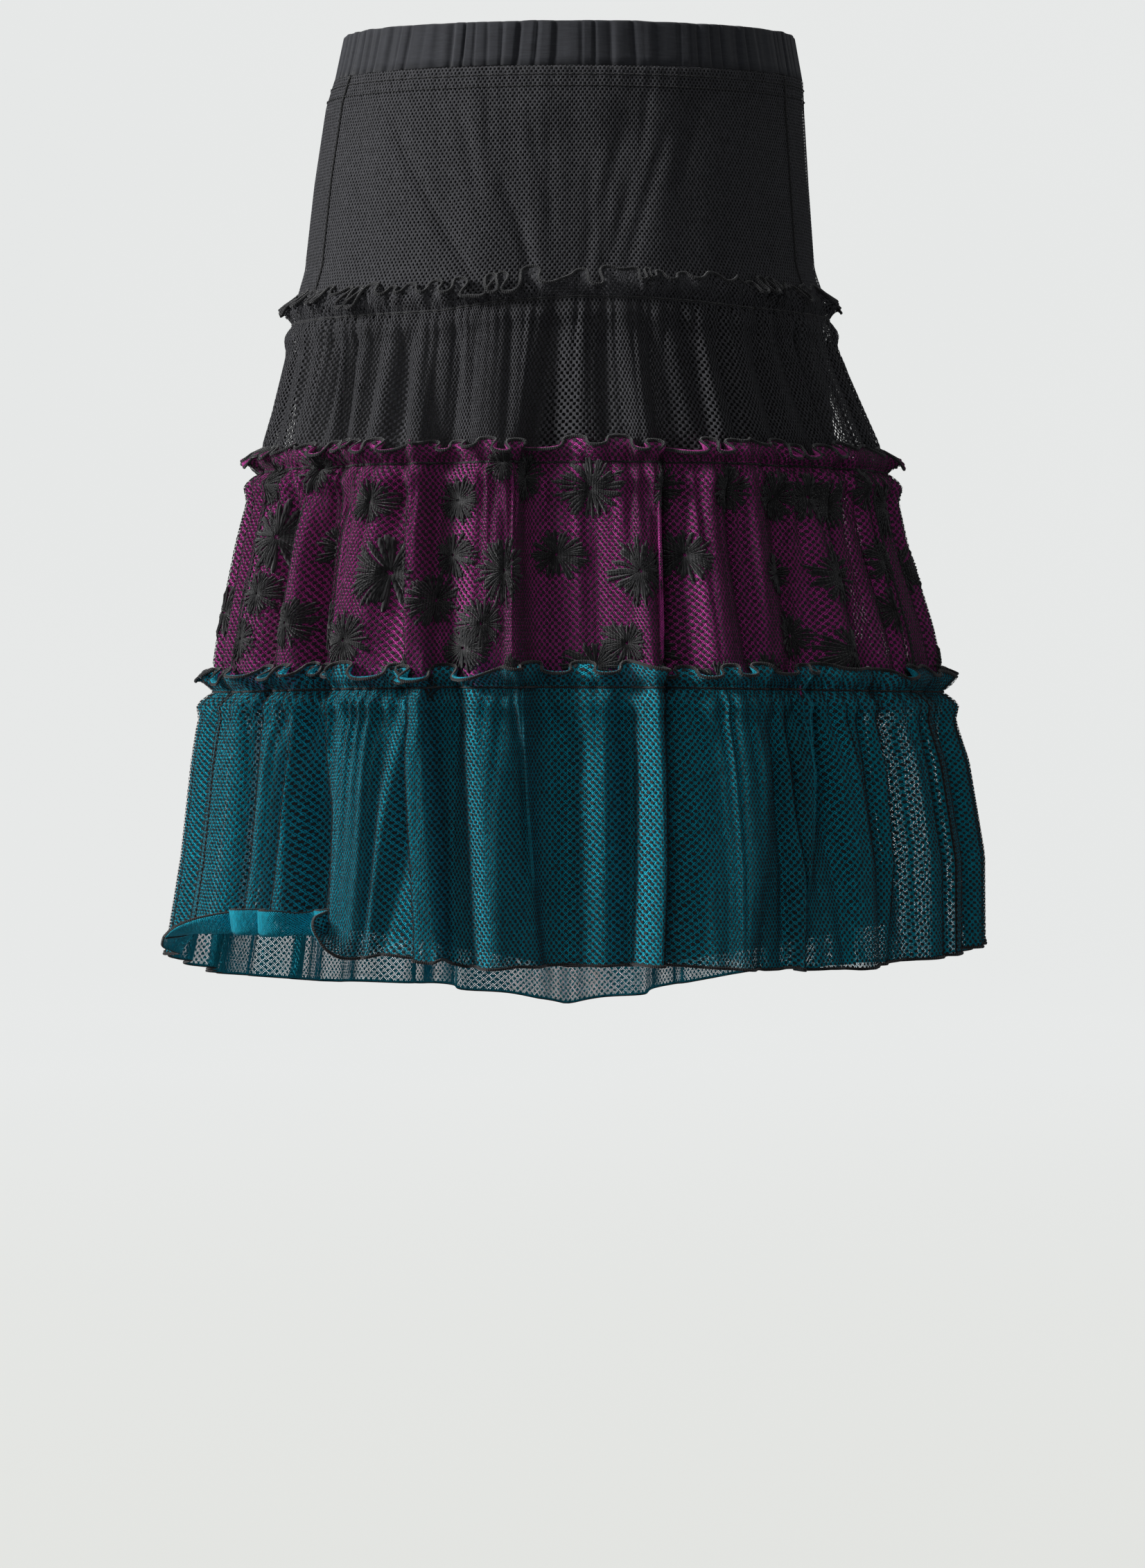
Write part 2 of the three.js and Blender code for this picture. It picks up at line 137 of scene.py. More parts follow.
# Upright creases and drag lines of the yoke: angle at the waist and at the seam, half width, depth,
# and the shares of the drop between which each one shows
CREASES = {
    "top": (30, 58, 74, 90, 105, 122, 150, 228, 262, 280, 312, 38, 61, 66, 84, 96, 118, 124, 112, 70,
        109, 91, 74, 79, 102, 107),
    "seam": (44, 66, 79, 90, 101, 115, 136, 238, 264, 277, 302, 73, 76, 84, 86, 93, 100, 108, 96, 74,
        104, 90, 82, 87, 96, 90),
    "width": (9, 9, 8, 8, 8, 9, 9, 9, 8, 8, 9, 2.6, 3, 2.4, 3, 3, 2.6, 3, 2.4, 2, 2, 30, 2.6, 2.4, 2.4,
        2.8),
    "depth": (1.2, 1.6, 2, 1.8, 2, 1.5, 1.2, 1.3, 1.7, 1.5, 1.3, 1.7, 1.4, 1.1, 1.5, 1.4, 1.5, 1.4, 1.2,
        1.1, 1.1, 6, 1.2, 1.3, 1.2, 1.2),
    "start": (0, 0, 0, 0, 0, 0, 0, 0, 0, 0, 0, 0.15, 0.05, 0.35, 0.15, 0.3, 0.2, 0.05, 0.4, 0, 0, 0.15,
        0.5, 0.1, 0.45, 0.2),
    "stop": (1, 1, 1, 1, 1, 1, 1, 1, 1, 1, 1, 1.1, 0.7, 1.1, 0.9, 1.1, 1, 0.6, 1.1, 0.5, 0.5, 1.25, 1.2,
        0.6, 1.2, 0.9),
}

UNEVEN = {
    "band": ((4, 0.008), (9, 0.006)),
    "black": ((3, 0.016), (8, 0.008)),
    "plum": ((5, 0.012), (7, 0.01)),
    "teal": ((4, 0.015), (11, 0.006)),
}
PANELS = (
    {"side": "back", "from": 23, "to": 155, "band": 16, "black": 16, "plum": 15, "teal": 18, "fineness": 28,
     "pleats": 3},
    {"side": "front", "from": 155, "to": 383, "band": 28, "black": 28, "plum": 25, "teal": 32, "fineness": 12,
     "pleats": 2},
)

# The three gathered tiers: the frill's height, its loops to a gather, reach of its edge, play of the
# edge's height and wander sideways, then the groove at the seam and the puff beside it
TIER_COLUMNS = ("seam", "next", "next_tier", "heading", "loops", "reach", "play", "wander", "groove",
                "puff", "gather", "seed", "fullness")
TIER_ROWS = {
    "black": ("first", "second", "plum", 18.5, 1.3, 11, 15, 0.17, 1.6, 3.0, 0.8, 11, 1.35),
    "plum": ("second", "third", "teal", 15, 1.1, 11, 12, 0.17, 3.4, 4.5, 1.5, 23, 1.35),
    "teal": ("third", "hem", "", 15, 1.0, 10, 10, 0.15, 3.4, 4.5, 1.5, 37, 1.4),
}
TIER_CUTS = {name: dict(zip(TIER_COLUMNS, row)) for name, row in TIER_ROWS.items()}
FRILL_ROWS = 8
BODY_ROWS = 27
SEAM_EASE = 2.6
SEAM_SLACK = 1.9
STRIP_ROWS = 8
GATHER_DROP = (0, 0.05, 0.15, 0.35, 0.65, 1)
FINE_SIZE = (2.6, 3.4, 3.0, 1.8, 0.9, 0.5)
COARSE_SIZE = (0.8, 3.4, 6.2, 8.6, 9.0, 7.0)

# Daisies on the back of the second tier: angle round the skirt, way down from the seam in hundredths
# of the tier's drop, and radius
DAISIES = {
    "degrees": (23, 24, 27, 29, 37, 38, 42, 44, 52, 53, 57, 61, 67, 70, 70, 73, 75, 78, 79, 81, 85, 90,
        94, 94, 98, 101, 107, 107, 108, 111, 113, 118, 121, 127, 129, 129, 137, 138, 140, 142, 152, 152,
        153, 154),
    "down": (6, 72, 53, 29, 1, 66, 35, 68, 74, 16, 46, 90, 58, 16, 39, 78, 68, 0, 46, 90, 6, 39, 11, 86,
        76, 46, 46, 78, 11, 39, 93, 11, 90, 46, 13, 72, 13, 78, 46, 16, 8, 60, 39, 90),
    "radius": (15, 14, 14, 22, 16, 16, 15, 15, 18, 14, 22, 13, 17, 14, 14, 14, 15, 14, 22, 14, 16, 15,
        18, 16, 14, 21, 15, 15, 18, 15, 15, 16, 15, 13, 16, 15, 16, 15, 19, 15, 14, 14, 16, 15),
}


def values_of(table, name):
    """A column of a table as an array of real numbers."""
    return np.asarray(table[name], float)


def read(table, key, column, value):
    """A column of a table at a value of its key, along straight lines between the rows."""
    keys = values_of(table, key)
    order = np.argsort(keys)
    return np.interp(value, keys[order], values_of(table, column)[order])


def ease(start, stop, value):
    """Smooth step: three shares squared less two shares cubed, between start and stop."""
    share = np.clip((value - start) / (stop - start), 0, 1)
    return share * share * (3 - 2 * share)


def drift(share, steps, seed):
    """Uneven value from -1 to 1: seeded numbers at even steps, joined by smooth steps."""
    knots = np.random.default_rng(seed).uniform(-1, 1, steps + 2)
    place = np.clip(share, 0, 1) * steps
    low = np.floor(place).astype(int)
    part = place - low
    part = part * part * (3 - 2 * part)
    return knots[low] * (1 - part) + knots[low + 1] * part


def ring(table, angle, z):
    """Oval ring: x = -breadth cos(angle), y = -depth sin(angle), with the directions out and along."""
    angle, z = np.broadcast_arrays(np.asarray(angle, float), np.asarray(z, float))
    cos, sin = np.cos(angle), np.sin(angle)
    breadth = np.where(cos > 0, read(table, "z", "left", z), read(table, "z", "right", z))
    depth = np.where(sin > 0, read(table, "z", "back", z), read(table, "z", "front", z))
    point = np.stack((-breadth * cos, -depth * sin, z), -1)
    outward = np.stack((-cos / breadth, -sin / depth, 0 * z), -1)
    outward /= np.linalg.norm(outward, axis=-1, keepdims=True)
    along = np.stack((-outward[..., 1], outward[..., 0], 0 * z), -1)
    return point, outward, along, (breadth + depth) / 2


def hollows(table, angle, centres, sizes, radius):
    """Sum of hollows: size times exp(-half the distance in half widths to the hollow's power). A power
    of 2 gives a bell, higher powers a flat floor between steep walls."""
    away = np.degrees(angle)[..., None] - centres
    away -= 360 * np.round(away / 360)
    apart = np.abs(np.radians(away) * radius[..., None] / values_of(table, "width"))
    bells = sizes * np.exp(-0.5 * apart ** np.asarray(table.get("power", 2), float))
    lean = np.asarray(table.get("lean", 0), float)
    return bells.sum(-1), (bells * lean).sum(-1)


def folds(angle, z, radius):
    """Depth of the large folds at each place, and how far the cloth is carried sideways there. Each
    valley's depth and angle run in straight lines between the seams."""
    angle, z, radius = np.broadcast_arrays(angle, z, radius)
    share = np.clip((TIER_TOP - z) / (TIER_TOP - TIER_BOTTOM), 0, 1)[..., None]
    sizes = 0.0
    columns = [np.zeros(len(VALLEYS["top"]))]
    columns += [values_of(VALLEYS, name) for name in ("second", "third", "edge")]
    for start, stop, low, high in zip(FOLD_SHARES, FOLD_SHARES[1:], columns, columns[1:]):
        sizes = sizes + (high - low) * np.clip((share - start) / (stop - start), 0, 1)
    top, hem = values_of(VALLEYS, "top"), values_of(VALLEYS, "hem")
    return hollows(VALLEYS, angle, top + (hem - top) * share, sizes, radius)


def yoke_creases(angle, z, radius):
    """Depth of the yoke's upright creases and drag lines, each shown between its two shares."""
    angle, z, radius = np.broadcast_arrays(angle, z, radius)
    share = np.clip((z + BAND_HALF_HEIGHT) / (TIER_TOP + BAND_HALF_HEIGHT), 0, 1)[..., None]
    start, stop = values_of(CREASES, "start"), values_of(CREASES, "stop")
    window = ease(start, start + 0.2, share) * (1 - ease(stop - 0.3, stop, share))
    top, seam = values_of(CREASES, "top"), values_of(CREASES, "seam")
    sizes = values_of(CREASES, "depth") * window
    return hollows(CREASES, angle, top + (seam - top) * share, sizes, radius)[0]


def level(column, angle):
    """Height of a seam or hem at an angle."""
    return read(LEVELS, "degrees", column, np.degrees(angle) % 360)


def panel_angle(panel, share):
    """Angle in radians at a share of the way from one side seam to the other."""
    return np.radians(panel["from"] + (panel["to"] - panel["from"]) * share)


def crowded(name, share):
    """Share moved to and fro by a few sines, so that gathers crowd and spread."""
    return share + sum(reach * np.sin(np.pi * turns * share) for turns, reach in UNEVEN[name])


def gather_shape(phase, power):
    """One gather: 1 less the cosine of half the phase, its sign dropped, to a power."""
    return 1 - np.abs(np.cos(phase / 2)) ** power


def normals_of(grid):
    """Unit normals of a grid: down the rows crossed with along the columns."""
    out = np.cross(np.gradient(grid, axis=0), np.gradient(grid, axis=1))
    return out / np.maximum(np.linalg.norm(out, axis=-1, keepdims=True), 1e-9)


def girth(panel, radius):
    """Way round a panel from one side seam to the other: mean radius times its turn."""
    return float(np.mean(radius)) * math.radians(panel["to"] - panel["from"])


def cloth_of(grid, s, fall, width):
    """A grid with its cloth coordinates and flat size in millimetres."""
    length = float(fall[-1] - fall[0])
    return {"grid": grid, "across": s[0] * width, "fall": fall, "width": width, "length": length}


def near_seams(panel, angle):
    """One within the panel, falling by smooth steps to nothing at its two side seams."""
    degrees = np.degrees(angle)
    return ease(0, SEAM_EASE, degrees - panel["from"]) * ease(0, SEAM_EASE, panel["to"] - degrees)


def gather_depth(panel, name, s, angle, down):
    """Depth of a tier's gathers: fine ones at its seam that fade into coarse ones further down, each
    one less the cosine of its phase without its sign, with seeded uneven sizes and phases."""
    cut = TIER_CUTS[name]
    gathers, seed = panel[name], cut["seed"] + panel["from"]
    phase = np.pi + 2 * np.pi * gathers * s
    pleats = panel["pleats"]
    fine = gather_shape(pleats * phase + 2.0 * drift(s, gathers * pleats, seed + 3), 0.9)
    coarse = gather_shape(phase + 2.4 * drift(s, gathers, seed + 4) * ease(0, 0.3, down), 1.3)
    lively = 1 + 0.18 * np.sin(3 * angle + 0.7) + 0.12 * np.sin(8 * angle + 2.1)
    uneven = 0.75 + 0.5 * drift(s, gathers, seed + 5) * ease(0, 0.1, down)
    fine_size = np.interp(down, GATHER_DROP, FINE_SIZE) * uneven
    uneven = 0.9 + 0.45 * drift(s, gathers // 2, seed + 6)
    coarse_size = np.interp(down, GATHER_DROP, COARSE_SIZE) * uneven
    return cut["gather"] * lively * (fine * fine_size + coarse * coarse_size) * near_seams(panel, angle)


def seam_offset(panel, name, angle):
    """How far the seam line of a tier lies from its ring: the puff's share there, less the groove and
    the gathers, at any angle of the panel."""
    fine = np.linspace(0, 1, 3000)
    s = np.interp(angle, panel_angle(panel, crowded(name, fine)), fine)
    cut = TIER_CUTS[name]
    puff = cut["puff"] * math.exp(-((PUFF_DROP / PUFF_WIDTH) ** 2))
    return puff - cut["groove"] - gather_depth(panel, name, s, angle, 0.0)


def tier_grid(panel, name):
    """Outer surface of a tier as a grid, with its cloth coordinates in millimetres.

    Each row is an oval ring at its height, less the large folds, less fine and coarse gathers that
    fade into each other, less a groove along the seam and plus a puff beside it (both bells of the
    way from the seam), plus the frill over the seam: an edge that swings out by a cosine and wanders
    sideways by a sine of twice its phase. The foot is drawn in to the next seam by a smooth step. A
    free hem is carried on by a strip that bends by an even turn over its first part, then runs on.
    """
    cut = TIER_CUTS[name]
    free = cut["next"] == "hem"
    gathers = panel[name]
    columns = gathers * panel["fineness"]
    s = np.linspace(0, 1, columns + 1)[None, :]
    angle = panel_angle(panel, crowded(name, s))
    seed = cut["seed"] + panel["from"]
    frill, body = np.linspace(1, 0, FRILL_ROWS, endpoint=False), np.linspace(0, 1, BODY_ROWS + 1)
    rise = np.concatenate((frill, 0 * body))[:, None]
    down = np.concatenate((0 * frill, body**1.25))[:, None]
    seam = level(cut["seam"], angle)
    foot = level("hem", angle) + HEM_STRIP if free else level(cut["next"], angle) - TUCK

    loops = round(gathers * cut["loops"])
    swing = 2 * np.pi * loops * (s + 0.8 / loops * drift(s, loops, seed)) + 0.4
    inside = near_seams(panel, angle)
    crest = (0.5 + 0.5 * np.cos(swing)) * inside
    vigour = 0.64 + 0.36 * drift(s, loops, seed + 1)
    height = cut["heading"] * (1 + 0.14 * drift(s, loops * 2, seed + 2) * inside)
    z = seam + height * rise - cut["play"] * vigour * crest * rise**2 + (foot - seam) * down

    point, outward, along, radius = ring(TIERS, angle, z)
    depth, shift = folds(angle, z, radius)
    from_seam = np.abs(z - seam)
    offset = -gather_depth(panel, name, s, angle, down) * (1 - 0.7 * rise)
    offset = offset - cut["groove"] * np.exp(-((from_seam / GROOVE_WIDTH) ** 2))
    offset = offset + cut["puff"] * np.exp(-(((from_seam - PUFF_DROP) / PUFF_WIDTH) ** 2))
    offset = offset + rise * (0.8 + cut["reach"] * vigour * (crest - 0.25) * inside)
    pitch = radius * np.radians(panel["to"] - panel["from"]) / loops
    shift = shift + cut["wander"] * pitch * rise * vigour * np.sin(2 * swing) * inside
    if not free:
        tucked = 1 - ease(*TUCK_EASE, z - level(cut["next"], angle))
        offset = offset + (seam_offset(panel, cut["next_tier"], angle) - SEAM_SLACK - offset) * tucked
    grid = point + outward * (offset - depth)[..., None] + along * shift[..., None]
    drop = float(np.mean(seam - foot))
    fall = (-cut["heading"] * rise + drop * down)[:, 0]

    if free:
        lower = grid[-1] - grid[-3]
        lower /= np.linalg.norm(lower, axis=-1, keepdims=True)
        degrees = np.degrees(angle[0]) % 360
        turn = HEM_TURN * ease(*CURL_STARTS, degrees) * (1 - ease(*CURL_STOPS, degrees))
        step = HEM_STRIP / STRIP_ROWS
        middle = (np.arange(STRIP_ROWS) + 0.5) * step
        bend = (turn * np.clip(middle / HEM_BEND, 0, 1)[:, None])[..., None]
        steps = step * (np.cos(bend) * lower + np.sin(bend) * outward[-1])
        grid = np.concatenate((grid, grid[-1] + np.cumsum(steps, axis=0)))
        fall = np.concatenate((fall, fall[-1] + middle + step / 2))
    return cloth_of(grid, s, fall, cut["fullness"] * girth(panel, radius[FRILL_ROWS]))


def yoke_grid(panel, inset, columns=240, rows=44):
    """Yoke: the body's rings less its creases, with a fine cosine pucker under the band. By a smooth
    step the last part passes into the tiers' ring, a little inside the first seam."""
    s = np.linspace(0, 1, columns + 1)[None, :]
    angle = panel_angle(panel, s)
    top, low = -BAND_DROP, level("first", angle)
    share = np.linspace(0, 1, rows + 1)[:, None]
    z = top + (low - top) * share
    point, outward, _, radius = ring(BODY, angle, z)
    seam_point, seam_out = ring(TIERS, angle, low)[:2]
    blend = ease(-128, -156, z)[..., None]
    point = point * (1 - blend) + (seam_point - seam_out * YOKE_INSET) * blend
    point[..., 2] = z
    pucker = 0.35 * np.cos(2 * np.pi * s * columns / 8 + 2 * drift(s, 30, 5))
    pucker = pucker * (1 - ease(0, 0.16, share))
    offset = -yoke_creases(angle, z, radius) + pucker - inset
    grid = point + outward * offset[..., None]
    return cloth_of(grid, s, share[:, 0] * YOKE_DROP, girth(panel, radius))


def lining_grid(panel, columns=112, rows=32):
    """Lining: parallel to the yoke to the first seam, then straight lines to the level of the third
    seam and to the hem, which ripples by a cosine."""
    upper = yoke_grid(panel, YOKE_TO_LINING, columns, 16)
    s = np.linspace(0, 1, columns + 1)[None, :]
    angle = panel_angle(panel, s)
    start = upper["grid"][-1]
    middle = ring(LINING, angle, level("third", angle))[0][0]
    hem_point, hem_out, _, radius = ring(LINING, angle, level("lining_hem", angle))
    phase = 2 * np.pi * LINING_RIPPLES * s + 2 * drift(s, LINING_RIPPLES, 71)
    ripple = 1.5 * (1 + np.cos(phase)) * near_seams(panel, angle)
    hem = (hem_point - hem_out * ripple[..., None])[0]
    share = np.linspace(0, 1, rows // 2 + 1)[1:, None, None]
    first = start + (middle - start) * share
    second = middle + (hem - middle) * share
    grid = np.concatenate((upper["grid"], first, second))
    upper_drop, lower_drop = LINING_DROPS
    share = share[:, 0, 0]
    knee = YOKE_DROP + upper_drop
    fall = np.concatenate((upper["fall"], YOKE_DROP + upper_drop * share, knee + lower_drop * share))
    return cloth_of(grid, s, fall, girth(panel, radius))


def put_mesh(name, points, faces, across=None):
    """A mesh from points in millimetres and lists of corners, with cloth coordinates in metres."""
    mesh = bpy.data.meshes.new(name)
    mesh.from_pydata((points * MM).tolist(), [], faces)
    if across is not None:
        corners = np.zeros(len(mesh.loops), dtype=int)
        mesh.loops.foreach_get("vertex_index", corners)
        layer = mesh.uv_layers.new(name="cloth")
        layer.data.foreach_set("uv", (across * MM)[corners].ravel())
    mesh.polygons.foreach_set("use_smooth", np.ones(len(mesh.polygons), dtype=bool))
    mesh.update()
    piece = bpy.data.objects.new(name, mesh)
    bpy.context.scene.collection.objects.link(piece)
    return piece


def grid_faces(rows, columns):
    """Four corners of each cell of a grid, turned so that its face looks outwards."""
    index = np.arange(rows * columns).reshape(rows, columns)
    return np.stack((index[:-1, :-1], index[1:, :-1], index[1:, 1:], index[:-1, 1:]), -1).reshape(-1, 4)


def wrapped_faces(index):
    """Four corners of each cell between rows of corners that close on themselves."""
    after = np.roll(index, -1, axis=-1)
    cells = (index[..., :-1, :], index[..., 1:, :], after[..., 1:, :], after[..., :-1, :])
    return np.stack(cells, -1).reshape(-1, 4).tolist()


def put_sheet(name, made, thickness):
    """A panel of cloth: the grid as one sheet, given its thickness inwards."""
    grid = made["grid"]
    rows, columns = grid.shape[:2]
    across = np.stack(np.broadcast_arrays(made["across"][None, :], -made["fall"][:, None]), -1)
    faces = grid_faces(rows, columns).tolist()
    piece = put_mesh(name, grid.reshape(-1, 3), faces, across.reshape(-1, 2))
    shell = piece.modifiers.new("Cloth thickness", "SOLIDIFY")
    shell.thickness = thickness
    shell.offset = -1
    return piece


def tube_parts(path, side_up, radius, sides=6):
    """A round profile carried along a path, with both ends closed. The profile is radius times the
    cosine of its angle along side_up and the sine along the path's other side."""
    tangent = np.gradient(path, axis=0)
    tangent /= np.maximum(np.linalg.norm(tangent, axis=-1, keepdims=True), 1e-9)
    other = np.cross(tangent, side_up)
    other /= np.maximum(np.linalg.norm(other, axis=-1, keepdims=True), 1e-9)
    up = np.cross(other, tangent)
    turn = np.linspace(0, 2 * np.pi, sides, endpoint=False)
    radius = np.broadcast_to(radius, len(path))[:, None, None]
    cos, sin = np.cos(turn)[:, None], np.sin(turn)[:, None]
    rings = path[:, None] + radius * (up[:, None] * cos + other[:, None] * sin)
    index = np.arange(len(path) * sides).reshape(len(path), sides)
    after = np.roll(index, -1, axis=1)
    quads = np.stack((index[:-1], after[:-1], after[1:], index[1:]), -1).reshape(-1, 4).tolist()
    ends = [index[0][::-1].tolist(), index[-1].tolist()]
    length = np.concatenate(([0], np.cumsum(np.linalg.norm(np.diff(path, axis=0), axis=-1))))
    across = np.stack(np.broadcast_arrays(length[:, None], (turn / 6)[None, :]), -1)
    return rings.reshape(-1, 3), quads + ends, across.reshape(-1, 2)


def put_tubes(name, parts):
    """Several closed tubes as one mesh."""
    points, faces, across, start = [], [], [], 0
    for part_points, part_faces, part_across in parts:
        points.append(part_points)
        across.append(part_across)
        faces.extend([[corner + start for corner in face] for face in part_faces])
        start += len(part_points)
    return put_mesh(name, np.concatenate(points), faces, np.concatenate(across))


def on_cloth(grid, normals, row, column, lift):
    """A place on a grid between its rows and columns, lifted along the normal there."""
    rows, columns = grid.shape[:2]
    row, column = np.clip(row, 0, rows - 1.001), np.clip(column, 0, columns - 1.001)
    r, c = row.astype(int), column.astype(int)
    v, u = (row - r)[..., None], (column - c)[..., None]

    def blend(values):
        upper = values[r, c] * (1 - u) + values[r, c + 1] * u
        lower = values[r + 1, c] * (1 - u) + values[r + 1, c + 1] * u
        return upper * (1 - v) + lower * v

    return blend(grid) + blend(normals) * np.asarray(lift)[..., None]


class Finish:
    """A node-based material under construction; each method adds one node and gives its output."""

    def __init__(self, name):
        self.material = bpy.data.materials.new(name)
        self.material.use_nodes = True
        self.tree = self.material.node_tree
        self.tree.nodes.clear()
        self.out = self.tree.nodes.new("ShaderNodeOutputMaterial")
        self.shader = self.tree.nodes.new("ShaderNodeBsdfPrincipled")
        self.tree.links.new(self.shader.outputs[0], self.out.inputs[0])

    def node(self, kind, inputs=(), output=0, **settings):
        """Adds a node with its settings and inputs, and gives one of its outputs."""
        made = self.tree.nodes.new(kind)
        for key, value in settings.items():
            setattr(made, key, value)
        for key, value in dict(inputs).items():
            self.join(value, made.inputs[key])
        return made.outputs[output]

    def join(self, value, socket):
        """Links another node's output to a socket, or sets a plain value there."""
        if isinstance(value, bpy.types.NodeSocket):
            self.tree.links.new(value, socket)
        else:
            socket.default_value = value

    def math(self, operation, first, second=0.0, third=0.0):
        return self.node("ShaderNodeMath", {0: first, 1: second, 2: third}, operation=operation)

    def cloth(self, scale):
        """The piece's own cloth coordinates times a scale, as separate across and down."""
        layer = self.node("ShaderNodeUVMap", uv_map="cloth")
        placed = self.node("ShaderNodeMapping", {"Vector": layer, "Scale": (scale[0], scale[1], 1)})
        split = self.tree.nodes.new("ShaderNodeSeparateXYZ")
        self.tree.links.new(placed, split.inputs[0])
        return split.outputs[0], split.outputs[1]

    def noise(self, scale, stretch=(1, 1, 1), detail=2.0, roughness=0.55):
        """Noise in space, on the Object coordinates."""
        place = self.node("ShaderNodeTexCoord", output=3)
        placed = self.node("ShaderNodeMapping", {"Vector": place, "Scale": stretch})
        return self.node("ShaderNodeTexNoise", {"Vector": placed, "Scale": scale, "Detail": detail,
                                                "Roughness": roughness})

    def span(self, value, low, high, smooth=False):
        """The value's way from low to high, from 0 to 1."""
        return self.node("ShaderNodeMapRange", {0: value, 1: low, 2: high, 3: 0.0, 4: 1.0},
                         interpolation_type="SMOOTHSTEP" if smooth else "LINEAR")

    def mix(self, factor, first, second):
        made = self.tree.nodes.new("ShaderNodeMix")
        made.data_type = "RGBA"
        for index, value in ((0, factor), (6, first), (7, second)):
            self.join(value, made.inputs[index])
        return made.outputs[2]

    def bump(self, height, distance, strength):
        return self.node("ShaderNodeBump", {"Height": height, "Distance": distance, "Strength": strength})

    def finish(self, **sockets):
        """Fills the shader's sockets and gives the material."""
        for key, value in sockets.items():
            self.join(value, self.shader.inputs[key.replace("_", " ")])
        return self.material


def shade(colour, factor):
    """A colour made lighter or darker by a factor."""
    return tuple(min(1.0, channel * factor) for channel in colour[:3]) + (1.0,)


def open_limit(open_share):
    """Height over which the net's wave pattern is a hole, for the share of the net that is open."""
    turn = np.linspace(0, 2 * np.pi, 180, endpoint=False)
    return float(np.quantile(np.cos(turn[:, None]) * np.cos(turn[None, :]), 1 - open_share))


def net_finish(name, colour, pitch, open_share, sheen=0.08, wander=0.8):
    """Knitted net: the cosine across times the cosine down, both pulled about by noise. Where that
    and a little fuzz are over a limit there is a hole; the yarn's lightness varies by the stitch."""
    made = Finish(name)
    across, fall = made.cloth((WAVE / pitch[0], WAVE / pitch[1]))
    uneven = made.noise(150.0, (1, 1, 0.5), 3.0, 0.6)
    warp = made.math("MULTIPLY_ADD", uneven, 4 * wander, -2 * wander)
    across = made.math("ADD", across, warp)
    fall = made.math("SUBTRACT", fall, warp)
    product = made.math("MULTIPLY", made.math("COSINE", across), made.math("COSINE", fall))
    fuzz = made.noise(1100.0, (1, 1, 0.4), 1.0)
    field = made.math("ADD", product, made.math("MULTIPLY_ADD", fuzz, 0.9, -0.45))
    limit, edge = open_limit(open_share), 0.2
    hole = made.span(field, limit - edge, limit + edge, smooth=True)
    alpha = made.math("SUBTRACT", 1.0, hole)
    slub = made.noise(650.0, (1, 1, 0.3), 2.0, 0.6)
    broad = made.noise(38.0, (1, 1, 0.5), 2.0)
    tone = made.math("MULTIPLY_ADD", made.span(slub, 0.3, 0.7), 0.6, made.math("MULTIPLY", broad, 0.3))
    base = made.mix(tone, shade(colour, 0.5), shade(colour, 1.38))
    height = made.math("MULTIPLY_ADD", slub, 0.5, made.math("MULTIPLY", field, -0.6))
    relief = made.bump(height, 0.0006, 0.8)
    return made.finish(Base_Color=base, Roughness=0.8, Alpha=alpha, Normal=relief, Sheen_Weight=sheen,
                       Sheen_Roughness=0.5, Specular_IOR_Level=0.25)


def woven_finish(name, colour, thread, slub_strength, sheen, roughness):
    """Plain weave: the sine across times the sine down as relief, with slubs along the rows."""
    made = Finish(name)
    across, fall = made.cloth((WAVE / thread, WAVE / thread))
    weave = made.math("MULTIPLY", made.math("SINE", across), made.math("SINE", fall))
    slub = made.noise(900.0, (0.12, 0.12, 1), 3.0, 0.65)
    stripe = made.noise(700.0, (1, 1, 0.1), 2.0, 0.6)
    wear = made.noise(30.0, (1, 1, 1), 3.0)
    tone = made.math("ADD", made.math("MULTIPLY", made.span(slub, 0.3, 0.7), slub_strength),
                     made.math("MULTIPLY", stripe, 0.35))
    tone = made.math("ADD", tone, made.math("MULTIPLY", wear, 0.25))
    base = made.mix(tone, shade(colour, 0.5), shade(colour, 1.4))
    height = made.math("ADD", made.math("MULTIPLY", weave, 0.35), slub)
    relief = made.bump(height, 0.00025, 0.6)
    return made.finish(Base_Color=base, Roughness=roughness, Normal=relief, Sheen_Weight=sheen,
                       Sheen_Roughness=0.5, Specular_IOR_Level=0.3)


def thread_finish(name, colour):
    """Overlock and embroidery yarn: fine ridges across the cord, fuzzy and matt."""
    made = Finish(name)
    across = made.cloth((WAVE / 1.3, 1.0))[0]
    wobble = made.math("MULTIPLY", made.noise(300.0), 3.0)
    ridge = made.math("SINE", made.math("ADD", across, wobble))
    fuzz = made.noise(1400.0, (1, 1, 1), 2.0, 0.6)
    tone = made.math("MULTIPLY_ADD", ridge, 0.2, fuzz)
    base = made.mix(tone, shade(colour, 0.5), shade(colour, 1.5))
    height = made.math("MULTIPLY_ADD", ridge, 0.5, fuzz)
    return made.finish(Base_Color=base, Roughness=0.85, Normal=made.bump(height, 0.0004, 0.8),
                       Sheen_Weight=0.3, Sheen_Roughness=0.5, Specular_IOR_Level=0.25)


def length_field(name, description, default):
    """A small length that a maker may change."""
    return bpy.props.FloatProperty(
        name=name, description=description, default=default, precision=5, unit="LENGTH")


def colour_field(name, description, default):
    """A colour that a maker may change."""
    return bpy.props.FloatVectorProperty(
        name=name, description=description, subtype="COLOR", size=3, default=default)


